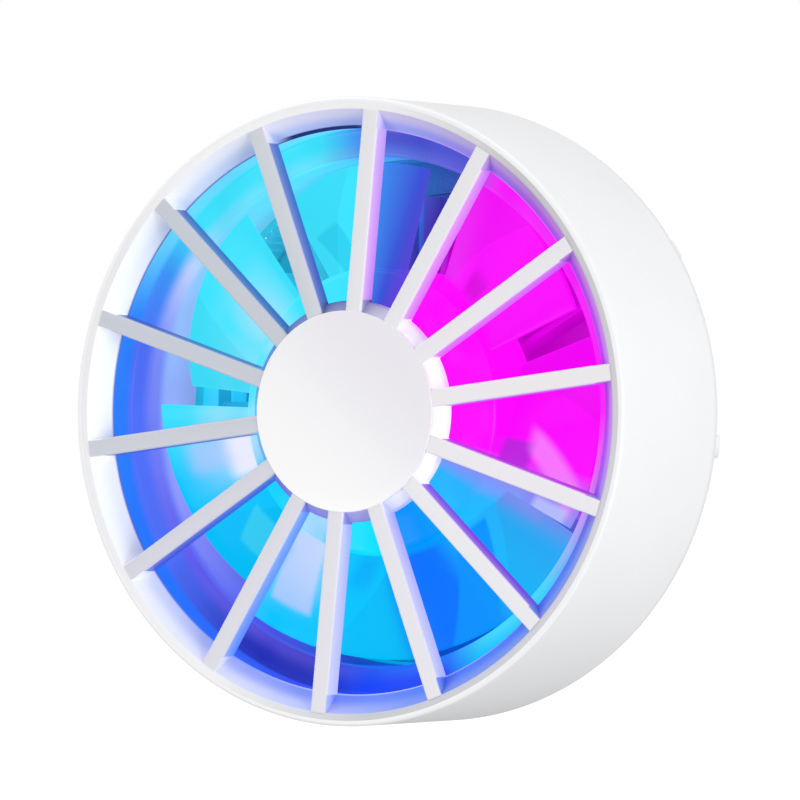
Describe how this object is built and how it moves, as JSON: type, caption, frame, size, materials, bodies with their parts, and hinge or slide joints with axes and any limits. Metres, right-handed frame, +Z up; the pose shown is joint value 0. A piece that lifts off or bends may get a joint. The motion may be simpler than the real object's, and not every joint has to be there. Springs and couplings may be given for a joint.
{
  "type": "phone cooling fan",
  "caption": "Round magnetic cooler that clings to the back of a phone: a lit fan behind a spoked grille blows air over a heat sink on a Peltier module.",
  "frame": {"origin": "centre of the face that lies on the phone, where the fan's axis meets it", "axes": "+Y out of the contact face towards the phone, so the air inlet faces -Y; +Z up as pictured; +X to the right seen from the inlet side, so the power socket faces -X"},
  "size_m": [0.064, 0.0275, 0.064],
  "materials": {
    "white_shell_plastic": "satin",
    "white_grille_plastic": "satin gloss",
    "frosted_light_guide": "frosted, lit from behind",
    "white_board": "solder mask",
    "led_package": "clear resin over white",
    "inner_frame_plastic": "satin",
    "brass": "turned",
    "nylon": "matte",
    "oil_filled_bronze": "sintered",
    "bright_steel": "ground",
    "dark_board": "solder mask",
    "chip_resin": "matte",
    "electrical_steel": "laminated",
    "enamelled_copper": "enamelled wire",
    "ferrite": "matte",
    "clear_blade_plastic": "clear, tinted by the light",
    "anodised_aluminium": "satin anodised",
    "grey_film": "soft",
    "alumina": "matte",
    "pellet_alloy": "matte",
    "black_foam": "foam",
    "plated_magnet": "nickel plated",
    "grip_silicone": "soft matte",
    "capacitor_can": "bright",
    "plated_socket": "nickel plated",
    "thermistor_bead": "epoxy",
    "lead_sheath": "matte",
    "power_lead_sheath": "matte"
  },
  "bodies": {
    "housing": {"drum_shell": "white_shell_plastic", "front_grille": "white_grille_plastic", "hub_cap": "white_grille_plastic", "light_guide": "frosted_light_guide", "led_board": "white_board", "led_chips": "led_package", "fan_base": "inner_frame_plastic", "bearing_tube": "brass", "thrust_pad": "nylon", "sleeve_bearing": "oil_filled_bronze", "motor_board": "dark_board", "motor_chips": "chip_resin", "stator_core": "electrical_steel", "stator_insulator_front": "nylon", "stator_insulator_rear": "nylon", "stator_coil_1": "enamelled_copper", "stator_coil_2": "enamelled_copper", "stator_coil_3": "enamelled_copper", "stator_coil_4": "enamelled_copper", "heat_sink": "anodised_aluminium", "thermal_pad": "grey_film", "peltier_hot_plate": "alumina", "peltier_cold_plate": "alumina", "peltier_pellets": "pellet_alloy", "foam_gasket": "black_foam", "cold_plate": "anodised_aluminium", "thermal_film": "grey_film", "rear_cover": "white_shell_plastic", "ring_magnets": "plated_magnet", "magnet_shunt": "bright_steel", "contact_pad": "grip_silicone", "control_board": "dark_board", "control_chips": "chip_resin", "power_inductor": "ferrite", "smoothing_capacitor": "capacitor_can", "usb_socket_shell": "plated_socket", "usb_socket_tongue": "chip_resin", "thermistor": "thermistor_bead", "fan_leads": "lead_sheath", "peltier_leads": "power_lead_sheath", "led_leads": "lead_sheath", "fan_screws": "bright_steel", "heat_sink_screws": "bright_steel", "rear_screws": "bright_steel"},
    "rotor": {"impeller": "clear_blade_plastic", "rotor_cup": "bright_steel", "rotor_magnet": "ferrite", "fan_shaft": "bright_steel", "shaft_clip": "nylon"}
  },
  "joints": [
    {"name": "impeller_spin", "type": "hinge", "parent": "housing", "child": "rotor", "pos_m": [0, -0.018, 0], "axis": [0, 1, 0], "continuous": true}
  ]
}
